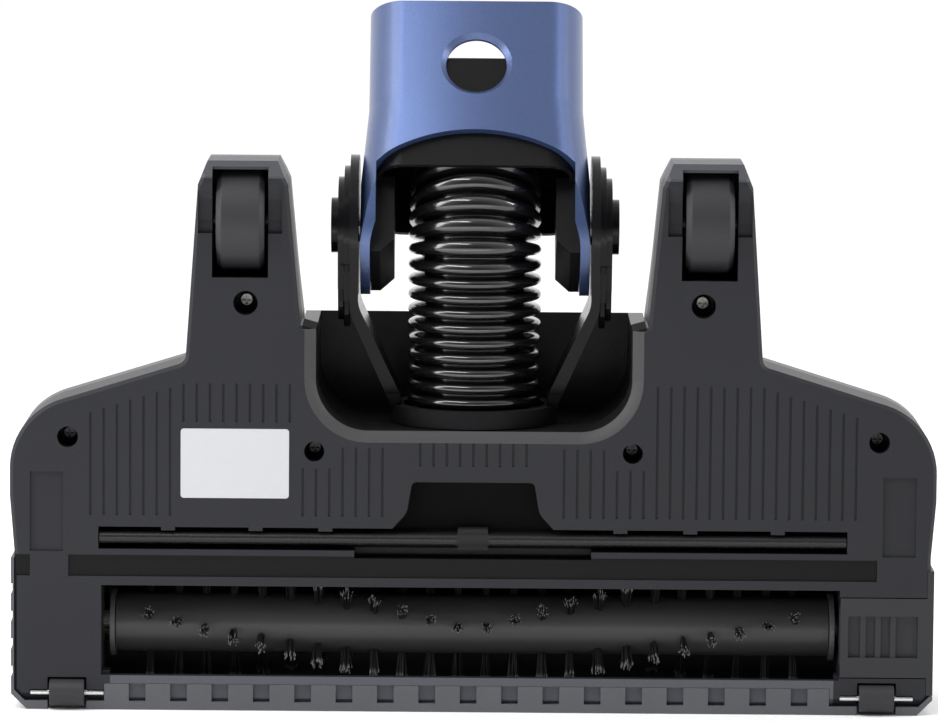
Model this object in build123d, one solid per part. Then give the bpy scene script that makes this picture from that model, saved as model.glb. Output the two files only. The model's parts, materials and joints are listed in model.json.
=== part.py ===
from build123d import *
import math
import os

# Powered floor head of a vacuum cleaner, standing on its front edge: X runs across the head, Z from the front
# edge to the neck, and the underside faces -Y. All lengths are in millimetres.

# Case, as seen square to the underside
case_half = 131.5
corner_cut = 3.0
bumper_thick = 2.6
flank_bulge = 1.3
bulge_low_z = 46.0
bulge_high_z = 62.0
rear_corner_z = 85.2
rear_corner_r = 20.8
leg_root_x = 82.6
leg_root_z = 100.7
leg_outer_x = 79.1
leg_inner_x = 49.7
leg_foot_z = 111.6
leg_end_z = 158.3
leg_tip_x = 56.4
leg_tip_cut_x = 2.6
leg_tip_cut_z = 6.6
leg_inner_cut_x = 3.0
leg_inner_cut_z = 6.6
leg_bevel = 4.0
bay_half = 45.3
bay_front_z = 81.2
bay_mouth_z = 110.4
bay_r = 15.0
bay_rim = 2.2

# Depths of the case
plate_y = -24.0
parting_y = -4.0
top_y = 35.0
wall = 2.4
edge_break = 1.0
nose_y = 15.0
nose_r = 8.0
brow_z = 40.0
brow_r = 30.0
shoulder_y = 17.0
shoulder_r = 14.0
crown_half = case_half - 33.5
crown_r = 40.0
slope_y = 4.0
slope_angle = 35.0
hood_z = 110.0
hood_rim_r = 3.0
leg_rise_y = 24.0
leg_low_y = 7.0
leg_low_z = 126.0
leg_rise_r = 10.0
leg_low_r = 25.0

# Clearances
seat_gap = 0.1
run_gap = 0.06
slide_gap = 0.3
swivel_gap = 0.3

# Brush and its tunnel
brush_y = -8.0
brush_z = 23.1
brush_half = case_half - 28.5
core_r = 8.5
core_wall = 1.9
flange_r = 9.75
flange_thick = 1.4
plug_length = 11.0
journal_r = 3.0
tuft_tip_r = 16.6
tuft_base = 1.5
tuft_flare = 2.0
tuft_pitch = 8.1
tuft_rows = 4
tuft_sides = 4
tuft_twist = 1.17
tunnel_r = 17.4
tunnel_wall = 1.6
tunnel_end_gap = 6.0
mouth_low_z = 10.1
mouth_high_z = 36.2
mouth_left_x = 24.9 - case_half
mouth_right_x = case_half - 26.0

# End cap
cap_low_z = 10.7
cap_high_z = 34.3
cap_flange_low_z = 5.9
cap_flange_high_z = 42.0
cap_flange_high_y = 12.0
cap_flange_thick = 1.9
cap_proud = 1.0
cap_disc_thick = 4.0
cap_plug_wall = 2.0
cap_bearing_r = 5.0
grip_low_x = mouth_right_x + 2.5
grip_high_x = case_half - 3.5
grip_low_z = 16.8
grip_high_z = 28.8
grip_depth = 1.6
grip_rib_first_x = grip_low_x + 3.5
grip_rib_pitch = 4.3
grip_rib_count = 3
grip_rib_width = 1.6

# Drive
drive_bearing_r = 6.0
pulley_middle_x = mouth_left_x - 7.9
pulley_width = 7.0
pulley_rim = 0.8
pulley_rim_height = 1.8
drive_pulley_r = 9.0
motor_pulley_r = 4.5
belt_width = 5.0
belt_thick = 1.3
dog_flats = 7.0
dog_reach = 6.0
motor_y = 10.0
motor_z = 62.0
motor_r = 14.0
motor_left_x = mouth_left_x + 6.6
motor_length = 48.0
motor_shaft_r = 1.5
motor_boss_r = 4.5
motor_boss_length = 3.0
cradle_thick = 2.0
cradle_inset = 8.0

# Suction way
duct_half_width = 28.0
duct_half_depth = 9.0
duct_wall = 1.8
swivel_y = 3.0
spigot_r = 19.0
spigot_wall = 2.5
retainer_r = 23.0
retainer_thick = 3.6

# Rear wheels and front rollers
wheel_x = 67.0
wheel_y = -13.0
wheel_z = 140.9
wheel_r = 14.5
wheel_width = 13.8
wheel_edge = 1.5
wheel_slot_gap = 1.1
wheel_end_gap = 1.3
axle_r = 2.2
axle_rib = 2.2
axle_rib_half = 6.0
snap_low_z = wheel_z - 3.1
snap_step_z = wheel_z + 0.6
snap_high_z = wheel_z + 11.1
snap_ramp = 4.0
snap_depth = 1.4
snap_groove = 1.8
snap_width = 4.0
roller_x = case_half - 15.1
roller_y = -22.9
roller_z = 4.8
roller_r = 4.0
roller_width = 10.0
roller_gap = 0.6
roller_pin_r = 0.9
roller_pin_half = 10.5
roller_block_half = 12.0
roller_block_high_z = 11.0

# Screws: places (X, Z) and well radius on the right half
screw_wells = [(65.4, 117.9, 3.5), (case_half - 15.3, 79.0, 3.0), (bay_half + 0.3, 75.3, 2.9)]
well_floor_y = -12.0
boss_wall = 1.9
boss_sides = 8
screw_r = 1.5
screw_head_r = 2.1
screw_head_thick = 1.9
screw_head_sides = 12
shank_sides = 6
screw_length = 14.0

# Underside relief
groove_pitch = 3.8
groove_width = 0.7
groove_depth = 0.45
groove_clear = 2.0
groove_field_inner_x = 26.0
groove_field_outer_x = case_half - 18.5
groove_low_z = 56.6
groove_top_margin = 6.0
groove_centre_half = 17.0
groove_centre_low_z = 71.3
groove_centre_high_z = 78.0
plate_label_x = -68.3
plate_label_z = 71.7
plate_label_width = 31.0
plate_label_height = 20.0
strip_half = case_half - 24.1
strip_low_z = 46.7
strip_high_z = 53.2
strip_floor_y = -17.0
strip_bar = 3.4
strip_clip_half = 4.3
strip_clip_low_z = 47.1
strip_clip_thick = 1.2
strip_tab_places = [42.3, 62.3, 87.4]
strip_tab_width = 4.0
strip_tab_reach = 1.0
strip_notch_half = 34.0
strip_notch_low_z = 44.4
recess_depth = 8.0
recess_top_z = 66.7
recess_top_half = 17.5
recess_foot_half = 24.0
band_low_z = 38.8
band_high_z = 45.0
band_half = case_half - 15.5
band_depth = 0.8
band_stub_width = 4.5
flank_low_x = case_half - 14.0
flank_high_x = case_half - 4.5
flank_low_z = 46.0
flank_high_z = 69.0

# Bumper castellations
tooth_pitch = 11.9
tooth_width = 7.1
tooth_high_z = 7.6
tooth_depth = 1.4
tooth_left_x = 25.8 - case_half
tooth_right_x = case_half - 28.7
bumper_high_y = 10.0
bumper_side_high_z = 44.0
bumper_side_thick = 1.0
bumper_corner = 4.5
side_notch_pitch = 8.0
side_notch_width = 3.0

# Neck fork
pivot_z = 138.0
collar_r = 24.0
collar_inner_r = 20.5
collar_high_z = 86.5
arm_inner_x = 33.5
arm_thick = 2.5
arm_end_r = 20.5
arm_foot_r = 9.5
arm_foot_z = 93.0
arm_bend_z = 116.0
arm_step = 3.2
arm_step_thick = 1.75
arm_step_low_z = 114.0
pivot_pin_r = 5.0
pivot_cap_r = 8.0
pivot_cap_thick = 2.0

# Hose
hose_crest_r = 19.3
hose_root_r = 15.2
hose_bore_r = 13.6
hose_foot_z = 86.0
hose_ridges = 17
hose_bore_spans = 4
hose_bend_reach = 10.5
hose_head = 22.0
cuff_wall = 1.8

# Neck, along its own leaning axis from the pivot
neck_lean = 34.0
neck_width = 62.0
neck_depth = 47.0
neck_corner = 10.0
neck_wall = 2.4
neck_top = 61.8
neck_arch_middle = 18.9
neck_arch_side = 9.2
cheek_r = 20.0
cheek_width = 66.0
cheek_inner_width = 60.4
cheek_high = 6.0
flare_high = 30.0
window_height = 40.9
window_r = 8.8
window_bevel = 1.5
liner_wall = 1.4
liner_foot = 8.4
liner_floor = 24.0
liner_floor_thick = 3.0
liner_top = 44.0
socket_r = 16.2
tab_inner_x = 23.3
tab_half_depth = 12.0
tab_low = -15.0
tab_cut = 4.0
contact_x = 22.5
contact_width = 7.0
contact_depth = 16.0
contact_height = 7.0
contact_pin_r = 0.8
contact_pin_length = 3.0
contact_pin_pitch = 5.0
contact_pin_count = 3

# Control board
board_x = case_half - 56.5
board_z = 64.0
board_width = 40.0
board_height = 22.0
board_thick = 1.6
board_y = -13.0
board_post_r = 3.0
board_post_inset = 5.0
board_part_size = 7.0
board_part_height = 6.0

plate_inner_y = plate_y + wall
bay_wall_z = bay_front_z - wall
pivot = (0, swivel_y, pivot_z)


# Helpers
def outline(corners):
    """Closed face through (a, b, rounding) corners."""
    face = make_face(Polyline(*[(a, b) for a, b, rounding in corners], close=True))
    for a, b, rounding in corners:
        if rounding > 0:
            corner = face.vertices().sort_by_distance((a, b, 0))[0]
            face = fillet(corner, rounding)
    return face


def both_halves(corners):
    """Right-half corners, followed by their mirror image."""
    return corners + [(-a, b, rounding) for a, b, rounding in reversed(corners)]


def slab(face, y_low, y_high):
    """Face drawn in X and Z, as a solid between two depths."""
    plane = Plane(origin=(0, y_high, 0), x_dir=(1, 0, 0), z_dir=(0, -1, 0))
    return extrude(plane * face, y_high - y_low)


def bar(face, x_low, x_high):
    """Face drawn in Y and Z, as a solid between two X places."""
    return extrude(Plane.YZ.offset(x_low) * face, x_high - x_low)


def column(face, z_low, z_high):
    """Face drawn in X and Y, as a solid between two heights."""
    return extrude(Plane.XY.offset(z_low) * face, z_high - z_low)


def block(x_low, x_high, y_low, y_high, z_low, z_high):
    size = (x_high - x_low, y_high - y_low, z_high - z_low)
    return Pos((x_low + x_high) / 2, (y_low + y_high) / 2, (z_low + z_high) / 2) * Box(*size)


def rod(x_low, x_high, y, z, radius):
    """Round bar along X."""
    return bar(Pos(y, z) * Circle(radius), x_low, x_high)


def post(x, z, y_low, y_high, radius):
    """Round bar along Y."""
    return slab(Pos(x, z) * Circle(radius), y_low, y_high)


def stud(x, z, y_low, y_high, radius, sides):
    """Many-sided bar along Y."""
    return slab(Pos(x, z) * RegularPolygon(radius, sides), y_low, y_high)


def shaft(x, y, z_low, z_high, radius):
    """Round bar along Z."""
    return column(Pos(x, y) * Circle(radius), z_low, z_high)


def mirror_x(solid):
    return mirror(solid, Plane.YZ)


def joined(solids):
    """One solid from overlapping solids."""
    whole = solids[0]
    for solid in solids[1:]:
        whole = whole + solid
    return whole


# Outlines that the case pieces share
def case_outline():
    return outline(both_halves([
        (case_half - corner_cut, bumper_thick, 0),
        (case_half, bumper_thick + corner_cut, 0),
        (case_half, bulge_low_z, 0),
        (case_half + flank_bulge, bulge_high_z, 0),
        (case_half + flank_bulge, rear_corner_z, rear_corner_r),
        (leg_root_x, leg_root_z, 3.0),
        (leg_outer_x, leg_end_z - leg_tip_cut_z, 0),
        (leg_outer_x - leg_tip_cut_x, leg_end_z, 0),
        (leg_tip_x, leg_end_z, 0),
        (leg_tip_x - leg_inner_cut_x, leg_end_z - leg_inner_cut_z, 0),
        (leg_inner_x, leg_foot_z, 0),
        (bay_half, bay_mouth_z, 0),
        (bay_half, bay_front_z, bay_r),
    ]))


def bay_outline(grow):
    """Neck bay, grown outwards, and open at the rear."""
    half = bay_half + grow
    front = bay_front_z - grow
    return outline(both_halves([(half, leg_end_z, 0), (half, front, bay_r + grow)]))


def leg_outline(side):
    return outline([
        (side * leg_root_x, rear_corner_z, 0),
        (side * leg_root_x, leg_root_z, 0),
        (side * leg_outer_x, leg_end_z - leg_tip_cut_z, 0),
        (side * (leg_outer_x - leg_tip_cut_x), leg_end_z, 0),
        (side * leg_tip_x, leg_end_z, 0),
        (side * (leg_tip_x - leg_inner_cut_x), leg_end_z - leg_inner_cut_z, 0),
        (side * leg_inner_x, leg_foot_z, 0),
        (side * leg_inner_x, rear_corner_z, 0),
    ])


def cap_bore():
    """Way for the brush and end cap through the right side of the case."""
    bore = rod(mouth_right_x, case_half + 1, brush_y, brush_z, tunnel_r)
    notch = block(mouth_right_x, case_half + 1, plate_y - 1, plate_inner_y + 0.5, cap_low_z, cap_high_z)
    return bore + notch


def cap_flange(gap):
    """Outer flange of the end cap, grown by a gap for its pocket."""
    low_x = case_half + cap_proud - cap_flange_thick - gap
    return block(low_x, case_half + cap_proud, plate_y - gap, cap_flange_high_y + gap,
                 cap_flange_low_z - gap, cap_flange_high_z + gap)


def swivel_hole():
    return shaft(0, swivel_y, bay_wall_z - 1, bay_front_z + 1, spigot_r + run_gap)


# Lower case
def groove_top(x):
    """Upper end of a groove, parallel to the sloped rear edge."""
    slope = (leg_root_z - rear_corner_z) / (leg_root_x - case_half)
    return leg_root_z + slope * (abs(x) - leg_root_x) - groove_top_margin


def grooves():
    """Fine upright grooves of the underside, left out round the wells and the label's place."""
    count = int((groove_field_outer_x - groove_field_inner_x) / groove_pitch)
    cuts = []
    for side in (-1, 1):
        for step in range(count + 1):
            x = side * (groove_field_inner_x + step * groove_pitch)
            top = min(groove_top(x), leg_root_z - groove_top_margin)
            if abs(x) < bay_half + 2 * wall:
                top = min(top, bay_wall_z - wall)
            spans = [(groove_low_z, top)]
            keep_out = [(well_x * side, z, radius, radius) for well_x, z, radius in screw_wells]
            keep_out.append((plate_label_x, plate_label_z, plate_label_width / 2, plate_label_height / 2))
            for middle_x, middle_z, half_x, half_z in keep_out:
                if abs(x - middle_x) < half_x + groove_clear:
                    low = middle_z - half_z - groove_clear
                    high = middle_z + half_z + groove_clear
                    spans = [part for a, b in spans for part in ((a, min(b, low)), (max(a, high), b))]
            cuts += [(x, a, b) for a, b in spans if b - a > groove_pitch]
    middle = int(groove_centre_half / groove_pitch)
    cuts += [(step * groove_pitch, groove_centre_low_z, groove_centre_high_z)
             for step in range(-middle, middle + 1)]
    return [block(x - groove_width / 2, x + groove_width / 2, plate_y - 1, plate_y + groove_depth, a, b)
            for x, a, b in cuts]


def in_bay(edge):
    middle = edge.center()
    return abs(middle.X) < bay_half + seat_gap and middle.Z < bay_mouth_z


def lower_case():
    plan = case_outline()
    outer = slab(plan, plate_y, parting_y)
    bay_edges = [edge for edge in outer.edges().group_by(Axis.Y)[0] if in_bay(edge)]
    outer = chamfer(bay_edges, bay_rim)
    rim = [edge for edge in outer.edges().group_by(Axis.Y)[0] if not in_bay(edge)]
    outer = chamfer(rim, edge_break)
    case = outer - slab(offset(plan, -wall), plate_inner_y, parting_y + 1)

    # Solid backing behind the strip slot, the centre recess and the roller pockets
    slot_wall = wall / 2
    backing = [
        block(-strip_half - slot_wall, strip_half + slot_wall, plate_inner_y - 1, strip_floor_y + slot_wall,
              strip_low_z - slot_wall, strip_high_z + slot_wall),
        block(-strip_notch_half - slot_wall, strip_notch_half + slot_wall, plate_inner_y - 1,
              strip_floor_y + slot_wall, strip_notch_low_z - slot_wall, strip_high_z),
        block(-recess_foot_half - wall, recess_foot_half + wall,
              plate_inner_y - 1, plate_y + recess_depth + wall,
              strip_high_z, recess_top_z + wall),
    ]
    for side in (-1, 1):
        backing.append(roller_block(side, 0))
        # Axle ribs beside each wheel
        for face in (-1, 1):
            inner = side * wheel_x + face * (wheel_width / 2 + wheel_slot_gap)
            low, high = sorted([inner, inner + face * axle_rib])
            backing.append(block(low, high, plate_inner_y - 1, wheel_y + 2 * axle_r,
                                 wheel_z - axle_rib_half, wheel_z + axle_rib_half))
        # Screw bosses
        for x, z, radius in screw_wells:
            backing.append(stud(side * x, z, plate_inner_y - 1, parting_y - seat_gap,
                                radius + boss_wall, boss_sides))
    # Motor cradle
    cradle_ribs = [motor_left_x + cradle_inset, motor_left_x + motor_length - cradle_inset]
    for x in cradle_ribs:
        backing.append(block(x - cradle_thick / 2, x + cradle_thick / 2, plate_inner_y - 1, parting_y + wall,
                             motor_z - motor_r * 0.8, motor_z + motor_r * 0.8))
    # Board posts
    for face in (-1, 1):
        x = board_x + face * (board_width / 2 - board_post_inset)
        backing.append(post(x, board_z, plate_inner_y - 1, board_y - seat_gap, board_post_r))
    case = joined([case] + backing)

    # Openings and wells
    cuts = [
        block(mouth_left_x, mouth_right_x, plate_y - 1, plate_inner_y + 0.5, mouth_low_z, mouth_high_z),
        cap_bore(),
        cap_flange(seat_gap),
        swivel_hole(),
        strip_slot(),
        slab(outline(both_halves([
            (recess_foot_half, strip_high_z - 1, 0),
            (recess_top_half + 1.5, strip_high_z + 4.5, 5.0),
            (recess_top_half, recess_top_z, 1.5),
        ])), plate_y - 1, plate_y + recess_depth),
        block(-band_half, band_half, plate_y - 1, plate_y + band_depth, band_low_z, band_high_z),
        block(-case_half - 1, -case_half + band_stub_width, plate_y - 1, plate_y + band_depth,
              band_low_z, band_high_z),
        block(tooth_left_x - seat_gap, tooth_right_x + seat_gap, plate_y - 1, plate_y + tooth_depth,
              bumper_thick - 1, tooth_high_z + seat_gap),
        rod(motor_left_x, motor_left_x + motor_length, motor_y, motor_z, motor_r + seat_gap),
    ]
    for side in (-1, 1):
        low, high = sorted([side * flank_low_x, side * flank_high_x])
        cuts.append(block(low, high, plate_y - 1, plate_y + band_depth, flank_low_z, flank_high_z))
        half_slot = wheel_width / 2 + wheel_slot_gap
        cuts.append(block(side * wheel_x - half_slot, side * wheel_x + half_slot,
                          plate_y - 1, plate_inner_y + 0.5,
                          wheel_z - wheel_r - wheel_end_gap, wheel_z + wheel_r + wheel_end_gap))
        axle_half = half_slot + axle_rib
        cuts.append(rod(side * wheel_x - axle_half, side * wheel_x + axle_half,
                        wheel_y, wheel_z, axle_r + run_gap))
        # Rounded recesses that the axle snaps in through, beside the wheel
        for face in (-1, 1):
            inner = side * wheel_x + face * (half_slot - 1)
            low, high = sorted([inner, inner + face * (snap_width + 1)])
            cuts.append(bar(snap_profile(), low, high))
        cuts.append(roller_pocket(side))
        for x, z, radius in screw_wells:
            cuts.append(post(side * x, z, plate_y - 1, well_floor_y, radius))
            cuts.append(stud(side * x, z, well_floor_y - 1, parting_y, screw_r + seat_gap, shank_sides))
        # Bevelled leg ends
        cuts.append(bar(outline([
            (plate_y - 1, leg_end_z - leg_bevel - 1, 0),
            (plate_y + leg_bevel, leg_end_z, 0),
            (plate_y - 1, leg_end_z + 1, 0),
        ]), *sorted([side * (leg_inner_x - 1), side * (leg_root_x + 1)])))
    for cut in cuts + grooves():
        case = case - cut
    return case


def strip_slot():
    """Slot of the floor strip, with a deeper middle and small tabs left along its upper edge."""
    slot = block(-strip_half, strip_half, plate_y - 1, strip_floor_y, strip_low_z, strip_high_z)
    slot = slot + block(-strip_notch_half, strip_notch_half, plate_y - 1, strip_floor_y,
                        strip_notch_low_z, strip_high_z)
    for side in (-1, 1):
        for place in strip_tab_places:
            low, high = sorted([side * (place - strip_tab_width / 2), side * (place + strip_tab_width / 2)])
            slot = slot - block(low, high, plate_y - 1, plate_y + strip_clip_thick,
                                strip_high_z - strip_tab_reach, strip_high_z + 1)
    return slot


def snap_profile():
    return outline([
        (plate_y - 1, snap_low_z, 0),
        (plate_y + snap_groove, snap_low_z, 0),
        (plate_y + snap_groove, snap_step_z, 0),
        (plate_y + snap_depth, snap_step_z, 0),
        (plate_y + snap_depth, snap_high_z - snap_ramp, snap_ramp),
        (plate_y, snap_high_z, 0),
        (plate_y - 1, snap_high_z, 0),
    ])


def roller_block(side, gap):
    """Solid that the pocket of a front roller is sunk in."""
    half = roller_block_half + gap
    return block(side * roller_x - half, side * roller_x + half, plate_inner_y - 1,
                 roller_y + roller_r + roller_gap + wall + gap,
                 bumper_thick + wall / 2, roller_block_high_z + gap)


def roller_pocket(side):
    """Round pocket for a front roller, open to the underside and the front, with the groove for its pin."""
    x = side * roller_x
    half = roller_width / 2 + roller_gap
    radius = roller_r + roller_gap
    pocket = rod(x - half, x + half, roller_y, roller_z, radius)
    pocket = pocket + block(x - half, x + half, plate_y - 1, roller_y, -1, roller_z + radius)
    pocket = pocket + block(x - half, x + half, plate_y - 1, roller_y + radius, -1, roller_z)
    pin_half = roller_pin_half + seat_gap
    groove = block(x - pin_half, x + pin_half, plate_y - 1, roller_y + roller_pin_r + seat_gap,
                   roller_z - roller_pin_r - seat_gap, roller_z + roller_pin_r + seat_gap)
    return pocket + groove


# Upper housing
def housing_body(inset):
    """Main dome with the hood, pulled in by an inset for its hollow."""
    widest = case_half + flank_bulge
    plan = outline(both_halves([
        (case_half - corner_cut, bumper_thick, 0),
        (case_half, bumper_thick + corner_cut, 0),
        (case_half, bulge_low_z, 0),
        (widest, bulge_high_z, 0),
        (widest, rear_corner_z, rear_corner_r),
        (leg_root_x, leg_root_z, 0),
        (leg_inner_x, hood_z, 0),
    ]))
    side = outline([
        (parting_y, bumper_thick, 0),
        (nose_y, bumper_thick, nose_r),
        (top_y, brow_z, brow_r),
        (top_y, hood_z, hood_rim_r if inset == 0 else 0),
        (parting_y, hood_z, 0),
    ])
    front = outline(both_halves([
        (widest, parting_y, 0),
        (widest, shoulder_y, shoulder_r),
        (crown_half, top_y, crown_r),
    ]))
    if inset > 0:
        plan = offset(plan, -inset)
        side = offset(side, -inset)
        front = offset(front, -inset)
    drop = parting_y - 1
    lowered = block(-widest, widest, drop, parting_y + inset + 1, 0, hood_z)
    body = slab(plan, drop, top_y) & bar(side, -widest, widest) & column(front, 0, hood_z)
    for half in (-1, 1):
        body = body - rear_slope(half, inset)
    if inset > 0:
        body = body + (slab(plan, drop, parting_y + inset + 1) & lowered)
    return body


def rear_slope(side, inset):
    """What is taken off the dome where it slopes up and forward from the rear edge, outside the hood."""
    run = math.hypot(case_half - leg_root_x, leg_root_z - rear_corner_z)
    tilt = math.degrees(math.atan2(leg_root_z - rear_corner_z, case_half - leg_root_x))
    lean = math.tan(math.radians(slope_angle))
    back = (top_y - slope_y) * lean
    wedge = outline([
        (slope_y - inset / lean, 0, 0),
        (top_y, -back - inset, 0),
        (top_y + 1, -back - inset, 0),
        (top_y + 1, run, 0),
        (slope_y - inset / lean, run, 0),
    ])
    prism = bar(wedge, -2 * run, 2 * run)
    cut = Pos(leg_root_x, 0, leg_root_z) * Rot(0, tilt, 0) * prism
    cut = cut & block(leg_inner_x - inset, case_half + 2 * wall, parting_y - 1, top_y + 1, 0, leg_end_z)
    return cut if side > 0 else mirror_x(cut)


def housing_leg(side, inset):
    plan = leg_outline(side)
    profile = outline([
        (parting_y, rear_corner_z, 0),
        (leg_rise_y, rear_corner_z, 0),
        (leg_rise_y, leg_root_z, leg_rise_r),
        (leg_low_y, leg_low_z, leg_low_r),
        (leg_low_y - 1, leg_end_z - leg_bevel, 0),
        (leg_low_y - 1 - leg_bevel, leg_end_z, 0),
        (parting_y, leg_end_z, 0),
    ])
    if inset > 0:
        plan = offset(plan, -inset)
        profile = offset(profile, -inset)
    drop = parting_y - 1
    reach = sorted([side * leg_inner_x, side * leg_root_x])
    leg = slab(plan, drop, leg_rise_y) & bar(profile, *reach)
    if inset > 0:
        leg = leg + slab(plan, drop, parting_y + inset + 1)
    return leg


def upper_housing():
    hood_inner_y = top_y - wall
    shell = housing_body(0) + housing_leg(-1, 0) + housing_leg(1, 0)
    hollow = housing_body(wall) + housing_leg(-1, wall) + housing_leg(1, wall)
    bay_walls = slab(bay_outline(wall), parting_y, hood_inner_y + 1) & housing_body(0)
    bay_space = slab(bay_outline(0), parting_y - 1, hood_inner_y)
    shell = shell - hollow + bay_walls - bay_space
    # Screw bosses
    for side in (-1, 1):
        for x, z, radius in screw_wells:
            boss = stud(side * x, z, parting_y, top_y, radius + boss_wall, boss_sides)
            shell = shell + (boss & (housing_body(0) + housing_leg(side, 0)))
            pilot_end = well_floor_y + screw_length + seat_gap
            shell = shell - stud(side * x, z, parting_y - 1, pilot_end, screw_r + seat_gap, shank_sides)
    for cut in (cap_bore(), cap_flange(seat_gap), swivel_hole()):
        shell = shell - cut
    return shell - block(-case_half, case_half, plate_y, parting_y, 0, leg_end_z)


# Bumper
def front_bumper():
    side_x = case_half + bumper_side_thick
    wrap = outline([
        (-side_x, bumper_side_high_z, 0),
        (-side_x, bumper_corner, 0),
        (-side_x + bumper_corner, 0, 0),
        (side_x - bumper_corner, 0, 0),
        (side_x, bumper_corner, 0),
        (side_x, cap_flange_low_z, 0),
        (0, cap_flange_low_z, 0),
        (0, bumper_side_high_z, 0),
    ])
    strip = slab(wrap, plate_y, bumper_high_y)
    strip = strip - slab(offset(case_outline(), seat_gap), plate_y - 1, bumper_high_y + 1)
    count = int((tooth_right_x - tooth_left_x) / tooth_pitch) + 1
    for step in range(count):
        x = tooth_left_x + step * tooth_pitch
        width = min(tooth_width, tooth_right_x - x)
        strip = strip + block(x, x + width, plate_y, plate_y + tooth_depth - seat_gap,
                              bumper_thick / 2, tooth_high_z)
    notches = int((bumper_side_high_z - bumper_corner) / side_notch_pitch)
    for step in range(1, notches + 1):
        z = bumper_corner + step * side_notch_pitch
        strip = strip - block(-side_x - 1, -side_x + bumper_side_thick / 2, plate_y - 1, bumper_high_y + 1,
                              z - side_notch_width, z)
    for side in (-1, 1):
        strip = strip - roller_pocket(side)
    return strip - cap_flange(slide_gap)


# Brush tunnel and suction duct
def brush_chamber():
    front = bumper_thick + wall + seat_gap
    foot = plate_inner_y + seat_gap
    left = mouth_left_x - wall
    right = case_half - wall - tunnel_end_gap

    def ring(radius, x_low, x_high):
        skirt = block(x_low, x_high, foot, brush_y, brush_z - radius, brush_z + radius)
        return rod(x_low, x_high, brush_y, brush_z, radius) + skirt

    outer = ring(tunnel_r + tunnel_wall, left, right)
    inner = ring(tunnel_r, mouth_left_x, right + 1)
    keep = block(left, right, foot, top_y, front, brush_z + tunnel_r + tunnel_wall)
    tunnel = (outer - inner) & keep
    for side in (-1, 1):
        tunnel = tunnel - roller_block(side, seat_gap)
    tunnel = tunnel - rod(left - 1, mouth_left_x + 1, brush_y, brush_z, drive_bearing_r + seat_gap)
    port = block(-duct_half_width, duct_half_width, swivel_y - duct_half_depth, swivel_y + duct_half_depth,
                 brush_z, brush_z + 2 * tunnel_r)
    return tunnel - port


def duct_loft(grow, foot_z, head_z):
    mouth = Rectangle(2 * (duct_half_width + grow), 2 * (duct_half_depth + grow))
    outlet = Circle(spigot_r - spigot_wall - duct_wall + grow)
    return loft([Pos(0, swivel_y, foot_z) * mouth, Pos(0, swivel_y, head_z) * outlet])


def suction_duct():
    foot_z = brush_z + tunnel_r - 4.0
    head_z = bay_wall_z - retainer_thick - swivel_gap - 1.0
    duct = duct_loft(duct_wall, foot_z, head_z) - duct_loft(0, foot_z - 0.01, head_z + 0.01)
    return duct - rod(-case_half, case_half, brush_y, brush_z, tunnel_r + tunnel_wall + seat_gap)


# Drive train
def pulley(radius, y, z):
    return rod(pulley_middle_x - pulley_width / 2, pulley_middle_x + pulley_width / 2, y, z, radius)


def drive_pulley():
    wheel = pulley(drive_pulley_r, brush_y, brush_z)
    return wheel - rod(-case_half, 0, brush_y, brush_z, journal_r + seat_gap / 2)


def drive_shaft():
    left = pulley_middle_x - pulley_width / 2 - 1
    shaft_bar = rod(left, mouth_left_x, brush_y, brush_z, journal_r)
    dog = bar(Pos(brush_y, brush_z) * RegularPolygon(dog_flats / 2, 6, major_radius=False),
              mouth_left_x, -brush_half + dog_reach)
    return shaft_bar + dog


def drive_bearing():
    low = mouth_left_x - wall
    bush = rod(low, mouth_left_x, brush_y, brush_z, drive_bearing_r)
    return bush - rod(low - 1, 0, brush_y, brush_z, journal_r + run_gap)


def motor():
    right = motor_left_x + motor_length
    can = rod(motor_left_x, right, motor_y, motor_z, motor_r)
    nose = rod(motor_left_x - motor_boss_length, motor_left_x + 1, motor_y, motor_z, motor_boss_r)
    tail = rod(right - 1, right + motor_boss_length, motor_y, motor_z, motor_boss_r)
    bore = rod(motor_left_x - motor_boss_length - 1, motor_left_x + cradle_inset, motor_y, motor_z,
               motor_shaft_r + run_gap)
    return can + nose + tail - bore


def motor_pulley():
    """Small pulley with a rim on its outer side, on the motor's shaft."""
    left = pulley_middle_x - pulley_width / 2
    rim = rod(left, left + pulley_rim, motor_y, motor_z, motor_pulley_r + pulley_rim_height)
    spindle = rod(left, motor_left_x + cradle_inset - 1, motor_y, motor_z, motor_shaft_r)
    return pulley(motor_pulley_r, motor_y, motor_z) + rim + spindle


def drive_belt():
    def loop(grow):
        small = Pos(motor_y, motor_z) * Circle(motor_pulley_r + grow)
        large = Pos(brush_y, brush_z) * Circle(drive_pulley_r + grow)
        return make_hull(small.edges() + large.edges())

    low = pulley_middle_x - belt_width / 2
    high = pulley_middle_x + belt_width / 2
    return bar(loop(belt_thick), low, high) - bar(loop(run_gap), low - 1, high + 1)


# Brush roll
def brush_core():
    tube = rod(-brush_half, brush_half, brush_y, brush_z, core_r)
    return tube - rod(-brush_half - 1, brush_half + 1, brush_y, brush_z, core_r - core_wall)


def brush_hub(side):
    end = side * (brush_half + seat_gap)
    plug_low, plug_high = sorted([end, side * (brush_half - plug_length)])
    flange_low, flange_high = sorted([end, end + side * flange_thick])
    return rod(plug_low, plug_high, brush_y, brush_z, core_r - core_wall - seat_gap / 2) + rod(
        flange_low, flange_high, brush_y, brush_z, flange_r)


def brush_hub_left():
    socket = Pos(brush_y, brush_z) * RegularPolygon(dog_flats / 2 + slide_gap / 2, 6, major_radius=False)
    return brush_hub(-1) - bar(socket, -brush_half - flange_thick - 1, -brush_half + dog_reach + slide_gap)


def brush_hub_right():
    reach = mouth_right_x + cap_disc_thick - slide_gap
    return brush_hub(1) + rod(brush_half, reach, brush_y, brush_z, journal_r)


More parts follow.
